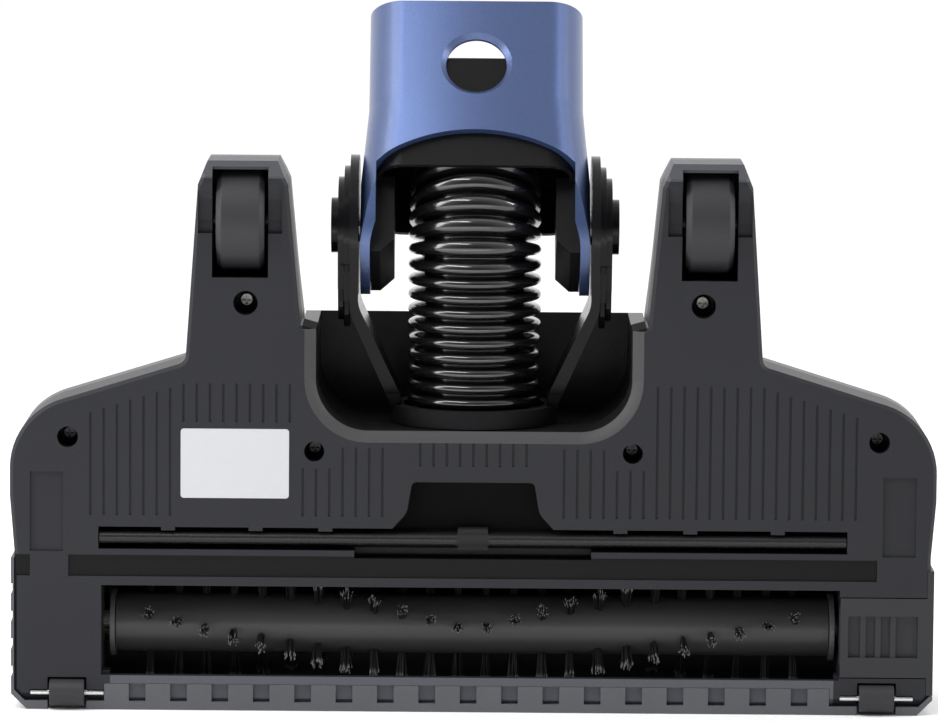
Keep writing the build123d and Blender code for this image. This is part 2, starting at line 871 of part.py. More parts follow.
def brush_tufts():
    """Bristle tufts in helices that mirror about the middle of the roll."""
    per_half = int((brush_half - tuft_pitch / 2) / tuft_pitch)
    foot = Plane.XY.offset(core_r + seat_gap) * RegularPolygon(tuft_base, tuft_sides)
    tip = Plane.XY.offset(tuft_tip_r) * RegularPolygon(tuft_flare, tuft_sides)
    tuft = loft([foot, tip], ruled=True)
    tufts = []
    for row in range(tuft_rows):
        for step in range(-per_half, per_half):
            x = (step + 0.5) * tuft_pitch
            turn = row * 360 / tuft_rows - abs(x) * tuft_twist
            tufts.append(Pos(x, brush_y, brush_z) * Rot(turn, 0, 0) * tuft)
    return Compound(children=tufts)


# End cap
def end_cap():
    face_y = plate_inner_y - seat_gap
    low_x = mouth_right_x + slide_gap
    high_x = case_half + cap_proud - cap_flange_thick
    plug_r = tunnel_r - slide_gap
    keep = block(low_x, high_x + 1, face_y, top_y, 0, 2 * brush_z)
    plug = rod(low_x, high_x + 1, brush_y, brush_z, plug_r)
    hollow = rod(low_x + cap_disc_thick, high_x, brush_y, brush_z, plug_r - cap_plug_wall)
    plug = (plug - hollow) & keep
    face = block(low_x, high_x + 1, plate_y, face_y + 0.5, cap_low_z + slide_gap, cap_high_z - slide_gap)
    backing = block(grip_low_x - wall, grip_high_x + wall, face_y, plate_y + grip_depth + wall,
                    grip_low_z - wall, grip_high_z + wall)
    cap = plug + face + backing + cap_flange(0)
    cap = cap - block(grip_low_x, grip_high_x, plate_y - 1, plate_y + grip_depth, grip_low_z, grip_high_z)
    for step in range(grip_rib_count):
        x = grip_rib_first_x + step * grip_rib_pitch
        cap = cap + block(x, x + grip_rib_width, plate_y + 0.4, plate_y + grip_depth + 0.5,
                          grip_low_z - 0.5, grip_high_z + 0.5)
    return cap - rod(low_x - 1, low_x + cap_disc_thick + 0.01, brush_y, brush_z, cap_bearing_r + seat_gap / 2)


def cap_bearing():
    low = mouth_right_x + slide_gap
    high = low + cap_disc_thick
    bush = rod(low, high, brush_y, brush_z, cap_bearing_r)
    return bush - rod(low - 1, high + 1, brush_y, brush_z, journal_r + run_gap)


# Strip behind the brush
def floor_strip():
    middle = (strip_low_z + strip_high_z) / 2
    reach = strip_half - slide_gap
    crown = plate_y + strip_bar / 2
    rib = block(-reach, reach, crown, strip_floor_y - seat_gap, middle - strip_bar / 2, middle + strip_bar / 2)
    clip = block(-strip_clip_half, strip_clip_half, plate_y + strip_clip_thick, strip_floor_y - seat_gap,
                 strip_clip_low_z, strip_high_z - slide_gap)
    hollow = block(-strip_clip_half + strip_clip_thick, strip_clip_half - strip_clip_thick, plate_y,
                   strip_floor_y - wall, middle + strip_bar / 2, strip_high_z - slide_gap - strip_clip_thick)
    return rib + rod(-reach, reach, crown, middle, strip_bar / 2) + clip - hollow


# Wheels, rollers and their pins
def rear_wheel(side):
    low = side * wheel_x - wheel_width / 2
    high = side * wheel_x + wheel_width / 2
    tyre = rod(low, high, wheel_y, wheel_z, wheel_r)
    tyre = chamfer(tyre.edges().filter_by(GeomType.CIRCLE), wheel_edge)
    return tyre - rod(low - 1, high + 1, wheel_y, wheel_z, axle_r + run_gap)


def wheel_axle(side):
    half = wheel_width / 2 + wheel_slot_gap + axle_rib
    return rod(side * wheel_x - half, side * wheel_x + half, wheel_y, wheel_z, axle_r)


def front_roller(side):
    low = side * roller_x - roller_width / 2
    high = side * roller_x + roller_width / 2
    roller = rod(low, high, roller_y, roller_z, roller_r)
    return roller - rod(low - 1, high + 1, roller_y, roller_z, roller_pin_r + run_gap)


def roller_pin(side):
    middle = side * roller_x
    return rod(middle - roller_pin_half, middle + roller_pin_half, roller_y, roller_z, roller_pin_r)


def case_screws():
    """Plain screws, one in each well."""
    head_high_y = well_floor_y - seat_gap
    head_low_y = head_high_y - screw_head_thick
    screws = []
    for side in (-1, 1):
        for x, z, _ in screw_wells:
            head = stud(side * x, z, head_low_y, head_high_y, screw_head_r, screw_head_sides)
            shank = stud(side * x, z, head_low_y, well_floor_y + screw_length, screw_r, shank_sides)
            screws.append(head + shank)
    return Compound(children=screws)


# Neck fork
def arm_profile(shrink):
    """Side shape of a fork arm: round end on the pivot, narrower towards the collar."""
    end = Pos(swivel_y, pivot_z) * Circle(arm_end_r - shrink)
    foot = Pos(swivel_y, arm_foot_z - shrink) * Circle(arm_foot_r - shrink)
    return make_hull(end.edges() + foot.edges())


def fork_arm():
    """Right arm: rises out of the collar, bends out round the hose and ends in a stepped round plate."""
    top = pivot_z + arm_end_r + 1
    outer_x = arm_inner_x + arm_thick
    ring_mid = (collar_r + collar_inner_r) / 2
    band = outline([
        (ring_mid - 1, bay_front_z + 4, 0),
        (collar_r, bay_front_z + 4, 0),
        (collar_r + 0.5, collar_high_z + 1, 8.0),
        (outer_x, arm_bend_z - 2, 10.0),
        (outer_x, top, 0),
        (arm_inner_x, top, 0),
        (arm_inner_x, arm_bend_z, 10.0),
        (collar_inner_r + 0.7, collar_high_z + 3, 8.0),
    ])
    arm = slab(band, -case_half, case_half) & bar(arm_profile(0), 0, case_half)
    for step in (1, 2):
        low = outer_x + (step - 1) * arm_step_thick
        plate = bar(arm_profile(step * arm_step), low - 0.5, low + arm_step_thick)
        arm = arm + (plate & block(0, case_half, -case_half, case_half, arm_step_low_z + step * arm_step, top))
    return arm


def fork_outer_x():
    return arm_inner_x + arm_thick + 2 * arm_step_thick


def yoke():
    collar = shaft(0, swivel_y, bay_front_z + swivel_gap, collar_high_z, collar_r)
    foot_z = bay_wall_z - swivel_gap - retainer_thick
    spigot = shaft(0, swivel_y, foot_z, bay_front_z + 1, spigot_r)
    arm = fork_arm()
    fork = collar + spigot + arm + mirror_x(arm)
    fork = fork - shaft(0, swivel_y, hose_foot_z - cuff_wall, collar_high_z + 4, collar_inner_r)
    fork = fork - shaft(0, swivel_y, foot_z - 1, hose_foot_z, spigot_r - spigot_wall)
    for side in (-1, 1):
        low, high = sorted([0, side * (fork_outer_x() + 1)])
        fork = fork - rod(low, high, swivel_y, pivot_z, pivot_pin_r + seat_gap / 2)
    return fork


def swivel_retainer():
    low = bay_wall_z - swivel_gap - retainer_thick
    high = bay_wall_z - swivel_gap
    ring = shaft(0, swivel_y, low, high, retainer_r)
    return ring - shaft(0, swivel_y, low - 1, high + 1, spigot_r + seat_gap / 2)


def pivot_pin(side):
    low, high = sorted([side * (cheek_inner_width / 2 + seat_gap), side * fork_outer_x()])
    return rod(low, high, swivel_y, pivot_z, pivot_pin_r)


def pivot_cap(side):
    inner = side * (fork_outer_x() + seat_gap)
    low, high = sorted([inner, inner + side * pivot_cap_thick])
    return rod(low, high, swivel_y, pivot_z, pivot_cap_r)


# Hose
def hose_station(distance):
    """Plane across the hose at a distance along it: straight, then an arc, then straight along the neck."""
    lean = math.radians(neck_lean)
    bend_r = hose_bend_reach / math.tan(lean / 2)
    straight = pivot_z - hose_bend_reach - hose_foot_z
    if distance <= straight:
        return Plane(origin=(0, swivel_y, hose_foot_z + distance), x_dir=(1, 0, 0), z_dir=(0, 0, 1))
    turn = min((distance - straight) / bend_r, lean)
    y = swivel_y + bend_r * (1 - math.cos(turn))
    z = pivot_z - hose_bend_reach + bend_r * math.sin(turn)
    rest = max(distance - straight - bend_r * lean, 0)
    along = (0, math.sin(turn), math.cos(turn))
    return Plane(origin=(0, y + rest * along[1], z + rest * along[2]), x_dir=(1, 0, 0), z_dir=along)


def hose_length():
    lean = math.radians(neck_lean)
    bend_r = hose_bend_reach / math.tan(lean / 2)
    return pivot_z - hose_bend_reach - hose_foot_z + bend_r * lean + hose_head - hose_bend_reach


def hose():
    pitch = hose_length() / hose_ridges
    rings = []
    for half_step in range(2 * hose_ridges + 1):
        radius = hose_crest_r if half_step % 2 else hose_root_r
        rings.append(hose_station(half_step * pitch / 2) * Circle(radius))
    lean = math.radians(neck_lean)
    straight = pivot_z - hose_bend_reach - hose_foot_z
    bend = hose_bend_reach / math.tan(lean / 2) * lean
    bends = [straight + bend * step / hose_bore_spans for step in range(hose_bore_spans + 1)]
    bore_rings = [hose_station(place) * Circle(hose_bore_r) for place in [0] + bends + [hose_length()]]
    return loft(rings, ruled=True) - loft(bore_rings, ruled=True)


def hose_cuff_lower():
    low = bay_wall_z - swivel_gap - retainer_thick
    cuff = shaft(0, swivel_y, low, hose_foot_z, spigot_r - spigot_wall - seat_gap)
    return cuff - shaft(0, swivel_y, low - 1, hose_foot_z + 1, hose_bore_r + cuff_wall / 2)


# Neck, built upright on its own axis and then leaned back about the pivot
def leaned(solid):
    lean = math.radians(neck_lean)
    frame = Plane(origin=pivot, x_dir=(1, 0, 0), z_dir=(0, math.sin(lean), math.cos(lean)))
    return frame.location * solid


def neck_shell():
    low = -cheek_r - 1
    inner_width = neck_width - 2 * neck_wall
    inner_depth = neck_depth - 2 * neck_wall
    section = RectangleRounded(neck_width, neck_depth, neck_corner)
    wide_section = RectangleRounded(cheek_width, neck_depth, neck_corner)
    flare = loft([Pos(0, 0, cheek_high) * wide_section, Pos(0, 0, flare_high) * section])
    tube = column(wide_section, low, cheek_high) + flare + column(section, flare_high, neck_top)
    inner_r = neck_corner - neck_wall
    tube = tube - column(RectangleRounded(inner_width, inner_depth, inner_r), low - 1, neck_top + 1)
    cheek_space = RectangleRounded(cheek_inner_width, inner_depth, inner_r)
    tube = tube - column(cheek_space, low - 1, liner_foot - seat_gap)
    # The front and rear walls stop at an arch; the side walls run on as round-ended cheeks
    half = inner_width / 2
    arch = make_face([
        ThreePointArc((-half, neck_arch_side), (0, neck_arch_middle), (half, neck_arch_side)),
        Polyline((half, neck_arch_side), (half, low - 2), (-half, low - 2), (-half, neck_arch_side)),
    ])
    tube = tube - slab(arch, -neck_depth, neck_depth)
    upper = Rectangle(neck_depth, neck_top - neck_arch_side, align=(Align.CENTER, Align.MIN))
    silhouette = make_hull(Circle(cheek_r).edges() + (Pos(0, neck_arch_side) * upper).edges())
    shell = tube & bar(silhouette, -neck_width, neck_width)
    shell = shell - rod(-cheek_width, cheek_width, 0, 0, pivot_pin_r + run_gap)
    window = post(0, window_height, -neck_depth, 0, window_r)
    mouth = Pos(0, -neck_depth / 2, window_height) * Rot(90, 0, 0) * Cone(
        window_r, window_r + window_bevel, window_bevel, align=(Align.CENTER, Align.CENTER, Align.MAX))
    return leaned(shell - window - mouth)


def neck_liner():
    outer_width = neck_width - 2 * neck_wall - 2 * seat_gap
    outer_depth = neck_depth - 2 * neck_wall - 2 * seat_gap
    outer_r = neck_corner - neck_wall
    body = column(RectangleRounded(outer_width, outer_depth, outer_r), liner_foot, liner_top)
    body = body - column(
        RectangleRounded(outer_width - 2 * liner_wall, outer_depth - 2 * liner_wall, outer_r - liner_wall),
        liner_foot - 1, liner_floor)
    body = body - shaft(0, 0, liner_floor - 1, liner_floor + liner_floor_thick + 1, hose_bore_r + seat_gap)
    body = body - shaft(0, 0, liner_floor + liner_floor_thick, liner_top + 1, socket_r)
    tab_outer_x = cheek_inner_width / 2 - seat_gap
    for side in (-1, 1):
        tab = outline([
            (side * tab_inner_x, liner_foot + 1, 0),
            (side * tab_inner_x, tab_low + tab_cut, 0),
            (side * (tab_inner_x + tab_cut), tab_low, 0),
            (side * tab_outer_x, tab_low, 0),
            (side * tab_outer_x, liner_foot - 2 * seat_gap, 0),
            (side * outer_width / 2, liner_foot - 2 * seat_gap, 0),
            (side * outer_width / 2, liner_foot + 1, 0),
        ])
        body = body + slab(tab, -tab_half_depth, tab_half_depth)
    return leaned(body)


def hose_cuff_upper():
    top = liner_floor + liner_floor_thick
    flange = shaft(0, 0, hose_head, liner_floor - seat_gap, hose_root_r)
    cuff = flange + shaft(0, 0, hose_head, top, hose_bore_r)
    return leaned(cuff - shaft(0, 0, hose_head - 1, top + 1, hose_bore_r - cuff_wall))


def contact_places():
    middle = (contact_pin_count - 1) / 2
    return [(step - middle) * contact_pin_pitch for step in range(contact_pin_count)]


def contact_block():
    base = block(contact_x - contact_width / 2, contact_x + contact_width / 2,
                 -contact_depth / 2, contact_depth / 2, liner_top, liner_top + contact_height)
    for y in contact_places():
        base = base - shaft(contact_x, y, liner_top - 1, liner_top + contact_height + 1,
                            contact_pin_r + seat_gap / 2)
    return leaned(base)


def contact_pins():
    tip = liner_top + contact_height + contact_pin_length
    pins = [leaned(shaft(contact_x, y, liner_top + seat_gap, tip, contact_pin_r)) for y in contact_places()]
    return Compound(children=pins)


# Control board
def control_board():
    half_x = board_width / 2
    half_z = board_height / 2
    board = block(board_x - half_x, board_x + half_x, board_y, board_y + board_thick,
                  board_z - half_z, board_z + half_z)
    for face in (-1, 1):
        x = board_x + face * board_width / 5
        half = board_part_size / 2
        board = board + block(x - half, x + half,
                              board_y + board_thick / 2, board_y + board_thick + board_part_height,
                              board_z - half, board_z + half)
    return board


pieces = {
    "lower_case": lower_case(),
    "upper_housing": upper_housing(),
    "front_bumper": front_bumper(),
    "brush_chamber": brush_chamber(),
    "suction_duct": suction_duct(),
    "motor": motor(),
    "motor_pulley": motor_pulley(),
    "drive_belt": drive_belt(),
    "drive_pulley": drive_pulley(),
    "drive_shaft": drive_shaft(),
    "drive_bearing": drive_bearing(),
    "brush_core": brush_core(),
    "brush_hub_left": brush_hub_left(),
    "brush_hub_right": brush_hub_right(),
    "brush_tufts": brush_tufts(),
    "end_cap": end_cap(),
    "cap_bearing": cap_bearing(),
    "floor_strip": floor_strip(),
    "case_screws": case_screws(),
    "yoke": yoke(),
    "swivel_retainer": swivel_retainer(),
    "hose": hose(),
    "hose_cuff_lower": hose_cuff_lower(),
    "hose_cuff_upper": hose_cuff_upper(),
    "neck_shell": neck_shell(),
    "neck_liner": neck_liner(),
    "contact_block": contact_block(),
    "contact_pins": contact_pins(),
    "control_board": control_board(),
}
for name, side in (("left", -1), ("right", 1)):
    pieces["rear_wheel_" + name] = rear_wheel(side)
    pieces["wheel_axle_" + name] = wheel_axle(side)
    pieces["front_roller_" + name] = front_roller(side)
    pieces["roller_pin_" + name] = roller_pin(side)
    pieces["pivot_pin_" + name] = pivot_pin(side)
    pieces["pivot_cap_" + name] = pivot_cap(side)

os.makedirs("parts", exist_ok=True)
for name, solid in pieces.items():
    export_step(solid, "parts/" + name + ".step")
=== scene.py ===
import json
import math
import random

import bmesh
import bpy
from mathutils import Matrix, Vector


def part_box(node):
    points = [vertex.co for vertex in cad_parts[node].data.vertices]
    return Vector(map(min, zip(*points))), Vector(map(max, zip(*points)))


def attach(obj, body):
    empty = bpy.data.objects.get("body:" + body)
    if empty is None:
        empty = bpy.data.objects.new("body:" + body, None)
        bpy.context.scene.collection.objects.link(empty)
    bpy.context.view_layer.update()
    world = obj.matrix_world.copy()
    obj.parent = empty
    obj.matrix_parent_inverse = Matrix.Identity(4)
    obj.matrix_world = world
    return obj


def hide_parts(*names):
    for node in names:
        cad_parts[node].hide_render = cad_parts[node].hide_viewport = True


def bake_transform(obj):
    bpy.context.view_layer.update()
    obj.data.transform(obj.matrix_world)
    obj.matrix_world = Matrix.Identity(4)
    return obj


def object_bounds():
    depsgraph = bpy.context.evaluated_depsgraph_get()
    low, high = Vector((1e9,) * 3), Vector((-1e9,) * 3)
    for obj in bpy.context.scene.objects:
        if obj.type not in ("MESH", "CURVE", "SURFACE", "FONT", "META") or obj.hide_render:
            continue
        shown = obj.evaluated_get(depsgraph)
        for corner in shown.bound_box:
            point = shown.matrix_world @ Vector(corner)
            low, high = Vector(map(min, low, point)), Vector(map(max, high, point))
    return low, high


# Powered floor head of a vacuum cleaner, standing on its front edge, its underside to the camera.
# All lengths are in metres, in the part's own frame.
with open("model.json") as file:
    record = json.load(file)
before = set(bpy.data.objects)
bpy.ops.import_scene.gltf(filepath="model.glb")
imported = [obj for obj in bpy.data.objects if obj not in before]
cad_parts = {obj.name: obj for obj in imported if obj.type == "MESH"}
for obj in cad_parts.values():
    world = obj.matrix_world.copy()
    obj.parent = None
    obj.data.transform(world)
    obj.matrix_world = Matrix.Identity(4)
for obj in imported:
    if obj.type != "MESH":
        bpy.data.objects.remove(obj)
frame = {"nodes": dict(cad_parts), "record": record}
cad_low, cad_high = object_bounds()
nodes = frame["nodes"]
slot_of = {row["node"]: row["material_slot"] for row in frame["record"]["subparts"]}
mm = 0.001

# Places shared with the part
plate_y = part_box("lower_case")[0].y
swivel_y = 3.0 * mm
pivot_z = 138.0 * mm
neck_lean = math.radians(34.0)

# Hose
hose_foot_z = 86.0 * mm
hose_bend_reach = 10.5 * mm
hose_head = 22.0 * mm
hose_crest_r = 19.3 * mm
hose_root_r = 15.2 * mm
hose_bore_r = 13.6 * mm
hose_ridges = 17
# Half a ridge from valley to crest: share of the pitch, share of the height
ridge_profile = [
    (0.0, 0.0),
    (0.09, 0.12),
    (0.13, 0.50),
    (0.18, 0.72),
    (0.26, 0.88),
    (0.37, 0.97),
    (0.5, 1.0),
]
hose_sides = 72

# Stepped plates on the fork: inner side (X), half width at the top and near the end, foot (Z)
cheek_plates = [
    (35.98 * mm, 15.8 * mm, 10.6 * mm, 108.5 * mm),
    (37.73 * mm, 12.4 * mm, 8.0 * mm, 110.5 * mm),
]
cheek_thick = 1.75 * mm
cheek_top_z = 128.0 * mm
cheek_end = 6.0 * mm
cheek_steps = 12

# Brush
brush_y = -8.0 * mm
brush_z = 23.1 * mm
brush_half = 103.0 * mm
core_r = 8.5 * mm
tuft_tip_r = 16.6 * mm
tuft_pitch = 8.1 * mm
tuft_rows = 4
tuft_twist = math.radians(1.17) / mm
tuft_hairs = 22
tuft_foot_r = 1.0 * mm
tuft_head_r = 1.9 * mm
hair_foot_r = 0.20 * mm
hair_tip_r = 0.11 * mm
hair_sides = 4
hair_steps = 3
hair_seed = 5
hair_bow = 0.4 * mm
hair_ragged = 0.9 * mm
tuft_sunk = 0.97
# Hairs turn pale between these distances below the tip of a tuft
tip_fade_low = 2.0 * mm
tip_fade_high = 0.4 * mm

# Screws: places (X, Z) on the right half, bright ones in the legs and ones in the case painted
# black for the shade deep in their wells
leg_screw = (65.4 * mm, 117.9 * mm)
case_screw_places = [(116.2 * mm, 79.0 * mm), (45.6 * mm, 75.3 * mm)]
screw_seat_y = -12.0 * mm
screw_head_r = 2.1 * mm
screw_head_thick = 1.9 * mm
screw_shank_r = 1.5 * mm
screw_length = 14.0 * mm
screw_edge = 0.5 * mm
screw_edge_turn = 0.35
cross_half_width = 0.34 * mm
cross_half_length = 1.3 * mm
cross_depth = 1.1 * mm
screw_sides = 32

# Bare plate on the underside
label_x = -68.3 * mm
label_z = 71.7 * mm
label_width = 31.0 * mm
label_height = 20.0 * mm
label_thick = 0.12 * mm
label_corner = 0.9 * mm
corner_steps = 6

# Painted shade on the case (band painted darker for the dark reflection of a polished band, slot,
# recess, neck bay) and painted light on it (light from below on the front lip, reflection on the
# leg tips, highlight on the rim of the bay), with their tones, most as shares of the case's own
case_half = 131.5 * mm
band_half = 116.0 * mm
band_stub = 4.5 * mm
band_low_z = 38.8 * mm
band_high_z = 45.0 * mm
slot_half = 107.4 * mm
slot_low_z = 46.7 * mm
slot_high_z = 53.2 * mm
recess_half = 24.0 * mm
recess_high_z = 66.7 * mm
recess_lip = 0.8 * mm
lip_half = 104.0 * mm
lip_high_z = 10.0 * mm
tip_low_z = 153.6 * mm
tip_high_z = 175.0 * mm
bay_half = 49.2 * mm
bay_low_z = 78.0 * mm
bay_high_z = 118.0 * mm
rim_high_z = 110.5 * mm
bay_back_y = 33.5 * mm
bay_rim = 2.4 * mm
chamfer_lean = -0.707
chamfer_margin = 0.24
# Tone of the painted highlight on the bevelled rim of the bay
rim_highlight_tone = (0.056, 0.056, 0.058)
# Shares of the case's tone: painted shade, painted light on the front lip, painted reflection on
# the leg tips, painted shade inside the cover's bay
shade_share_of_tone = 0.1
lip_painted_light_share = 3.9
tip_painted_reflection_share = 3.0
cover_bay_shade_share = 0.12

# Dull places, half width (X) and top (Z): collar at the foot of the fork, clip on the strip
fork_collar = (40.0 * mm, 90.0 * mm)
strip_clip = (4.6 * mm, 60.0 * mm)
dull_roughness = 0.8

# Paint of the neck: slight crown across its faces, height of its flakes
paint_crown = -5.0
flake_height = 0.002 * mm

# Fineness of the patterns in the materials, in features per metre
drift_scale = 22.0
flake_scale = 3200.0
paint_scale = 16.0
drawn_scale = 2600.0
stain_scale = 160.0
track_scale = 130.0
board_scale = 300.0
strand_scale = 1400.0
fibre_scale = 900.0
floor_scale = 3.0

# Depth of the fine lines in drawn metal and of the plate's fibre, unevenness of a plastic's sheen
drawn_depth = 0.006 * mm
fibre_depth = 0.004 * mm
sheen_drift = 0.06

# Softened edges of the moulded and turned pieces
edge_width = 0.28 * mm
edge_segments = 2
edge_angle = math.radians(38.0)
weld_distance = 0.002 * mm

# Floor, and the sky's strength in the direction the underside faces and all round
floor_half = 6.0
front_way = -0.95
side_way = 0.0
front_sky = 0.12
side_sky = 1.3

# Camera
camera_lift = math.radians(6.6)
camera_roll = math.radians(0.45)
camera_reach = 1.6
camera_target = Vector((-1.5 * mm, plate_y, 101.9 * mm))
camera_lens = 215.0
camera_sensor = 36.0
camera_clip = (0.05, 30.0)


# Node trees
class Tree:
    """Short calls for building a material's node tree."""

    # Places of the colour sockets on a Mix node
    mix_first = 6
    mix_second = 7
    mix_result = 2

    def __init__(self, name):
        self.material = bpy.data.materials.new(name)
        self.material.use_nodes = True
        self.tree = self.material.node_tree
        self.shader = self.tree.nodes["Principled BSDF"]
        texture = self.tree.nodes.new("ShaderNodeTexCoord")
        self.place = texture.outputs["Object"]
        self.facing = self.tree.nodes.new("ShaderNodeNewGeometry").outputs["True Normal"]

    def node(self, kind, **inputs):
        made = self.tree.nodes.new(kind)
        for name, value in inputs.items():
            self.feed(made, name.replace("_", " "), value)
        return made

    def feed(self, node, name, value):
        if isinstance(value, bpy.types.NodeSocket):
            self.tree.links.new(value, node.inputs[name])
        else:
            node.inputs[name].default_value = value

    def set(self, name, value):
        self.feed(self.shader, name, value)

    def noise(self, scale, detail=2.0, stretch=(1, 1, 1)):
        place = self.tree.nodes.new("ShaderNodeMapping")
        place.inputs["Scale"].default_value = stretch
        self.tree.links.new(self.place, place.inputs["Vector"])
        moved = place.outputs["Vector"]
        made = self.node("ShaderNodeTexNoise", Vector=moved, Scale=scale, Detail=detail)
        return made.outputs["Fac"]

    def cells(self, scale):
        return self.node("ShaderNodeTexVoronoi", Vector=self.place, Scale=scale).outputs["Color"]

    def spread(self, value, low, high, start=0.3, end=0.7):
        made = self.node("ShaderNodeMapRange", Value=value)
        made.inputs["From Min"].default_value = start
        made.inputs["From Max"].default_value = end
        made.inputs["To Min"].default_value = low
        made.inputs["To Max"].default_value = high
        return made.outputs["Result"]

    def mix(self, share, first, second):
        """Colour between two colours, each a tone or another node's colour."""
        made = self.tree.nodes.new("ShaderNodeMix")
        made.data_type = "RGBA"
        self.tree.links.new(share, made.inputs["Factor"])
        for index, value in ((self.mix_first, first), (self.mix_second, second)):
            if isinstance(value, bpy.types.NodeSocket):
                self.tree.links.new(value, made.inputs[index])
            else:
                made.inputs[index].default_value = (*value, 1)
        return made.outputs[self.mix_result]

    def math(self, operation, first, second, third=0.0):
        made = self.tree.nodes.new("ShaderNodeMath")
        made.operation = operation
        for index, value in enumerate((first, second, third)):
            self.feed(made, index, value)
        return made.outputs["Value"]

    def within(self, axis, low, high):
        """1 where a coordinate lies between two values, 0 elsewhere."""
        split = self.node("ShaderNodeSeparateXYZ", Vector=self.place)
        return self.math("COMPARE", split.outputs[axis], (low + high) / 2, (high - low) / 2)

    def zone(self, x_low, x_high, z_low, z_high):
        """1 inside a rectangle of the underside, 0 outside it."""
        inside_x = self.within("X", x_low, x_high)
        inside_z = self.within("Z", z_low, z_high)
        return self.math("MULTIPLY", inside_x, inside_z)

    def beyond(self, y):
        """1 where Y is larger, 0 elsewhere."""
        split = self.node("ShaderNodeSeparateXYZ", Vector=self.place)
        return self.math("GREATER_THAN", split.outputs["Y"], y)

    def leaning(self, lean, margin):
        """1 on faces whose direction along Y is near a value, 0 elsewhere."""
        split = self.node("ShaderNodeSeparateXYZ", Vector=self.facing)
        return self.math("COMPARE", split.outputs["Y"], lean, margin)

    def reach(self, centre):
        """Distance from an axis along X."""
        away = self.tree.nodes.new("ShaderNodeVectorMath")
        away.operation = "SUBTRACT"
        self.tree.links.new(self.place, away.inputs[0])
        away.inputs[1].default_value = centre
        across = self.tree.nodes.new("ShaderNodeVectorMath")
        across.operation = "MULTIPLY"
        self.tree.links.new(away.outputs["Vector"], across.inputs[0])
        across.inputs[1].default_value = (0, 1, 1)
        length = self.tree.nodes.new("ShaderNodeVectorMath")
        length.operation = "LENGTH"
        self.tree.links.new(across.outputs["Vector"], length.inputs[0])
        return length.outputs["Value"]

    def dull(self, share, roughness):
        """Raises the roughness where a mask is 1."""
        sheen = self.shader.inputs["Roughness"].links[0].from_socket
        self.set("Roughness", self.math("MAXIMUM", sheen, self.math("MULTIPLY", share, roughness)))

    def bump(self, height, distance, strength=1.0):
        made = self.node("ShaderNodeBump", Height=height, Distance=distance, Strength=strength)
        return made.outputs["Normal"]


def shade(tone, factor):
    return tuple(channel * factor for channel in tone)


def moulded_tree(name, tone, roughness, grain=0.5 * mm, depth=0.03 * mm, drift=0.12, gloss=0.4):
    """Moulded plastic or rubber: fine spark grain, slow drift in tone, slightly uneven sheen."""
    tree = Tree(name)
    fine = tree.noise(1 / grain, 3.0)
    broad = tree.noise(drift_scale, 4.0)
    colour = tree.mix(broad, shade(tone, 1 - drift), shade(tone, 1 + drift))
    tree.set("Base Color", colour)
    tree.set("Roughness", tree.spread(fine, roughness - sheen_drift, roughness + sheen_drift))
    tree.set("Normal", tree.bump(fine, depth))
    tree.set("Specular IOR Level", gloss)
    return tree, colour


def moulded(*settings, **options):
    return moulded_tree(*settings, **options)[0].material


def case_plastic(name, tone, roughness):
    """Case moulding with painted shade in its band, slot, recess and neck bay, and painted light on
    its front lip, leg tips and bay rim.
    """
    tree, colour = moulded_tree(name, tone, roughness, gloss=0.15)
    # Painted shade: the band painted darker for the dark reflection of a polished band, and the
    # slot, recess, neck bay and its shoulders darkened where shade falls
    band = tree.zone(-band_half, band_half, band_low_z, band_high_z)
    stub = tree.zone(-case_half, -case_half + band_stub, band_low_z, band_high_z)
    slot = tree.zone(-slot_half, slot_half, slot_low_z, slot_high_z)
    recess = tree.zone(-recess_half, recess_half, slot_high_z, recess_high_z)
    opening = tree.math("MAXIMUM", slot, recess)
    hollow = tree.math("MULTIPLY", opening, tree.beyond(plate_y + recess_lip))
    bay = tree.zone(-bay_half, bay_half, bay_low_z, bay_high_z)
    inside = tree.math("MULTIPLY", bay, tree.beyond(plate_y + bay_rim))
    shoulder = tree.zone(-bay_half, bay_half, rim_high_z, bay_high_z)
    recess_and_bay_shade = tree.math("MAXIMUM", tree.math("MAXIMUM", hollow, inside), shoulder)
    painted_shade = tree.math("MAXIMUM", tree.math("MAXIMUM", band, stub), recess_and_bay_shade)
    # Painted light: paler front lip for light from below, paler leg tips for their reflection, and
    # a painted highlight on the bevelled rim of the bay
    lip = tree.zone(-lip_half, lip_half, 0.0, lip_high_z)
    tip = tree.zone(-case_half, case_half, tip_low_z, tip_high_z)
    mouth = tree.zone(-bay_half, bay_half, bay_low_z, rim_high_z)
    rim = tree.math("MULTIPLY", mouth, tree.leaning(chamfer_lean, chamfer_margin))
    colour = tree.mix(painted_shade, colour, shade(tone, shade_share_of_tone))
    colour = tree.mix(lip, colour, shade(tone, lip_painted_light_share))
    colour = tree.mix(tip, colour, shade(tone, tip_painted_reflection_share))
    tree.set("Base Color", tree.mix(rim, colour, rim_highlight_tone))
    tree.dull(recess_and_bay_shade, dull_roughness)
    return tree.material


def cover_plastic(name, tone, roughness):
    """Cover moulding, painted nearly black inside the neck bay for the shade there."""
    tree, colour = moulded_tree(name, tone, roughness, gloss=0.2)
    # Painted shade: the faces inside the neck bay are made nearly black
    bay = tree.zone(-bay_half, bay_half, bay_low_z, bay_high_z)
    outside = tree.math("MULTIPLY", bay, tree.beyond(bay_back_y))
    inside = tree.math("SUBTRACT", bay, outside)
    tree.set("Base Color", tree.mix(inside, colour, shade(tone, cover_bay_shade_share)))
    return tree.material


def partly_dull(name, tone, roughness, dull_place, depth, gloss):
    """Smooth plastic with one dull place, given as half width (X) and top (Z)."""
    tree = moulded_tree(name, tone, roughness, depth=depth, gloss=gloss)[0]
    dull_half, dull_high_z = dull_place
    tree.dull(tree.zone(-dull_half, dull_half, 0.0, dull_high_z), dull_roughness)
    return tree.material


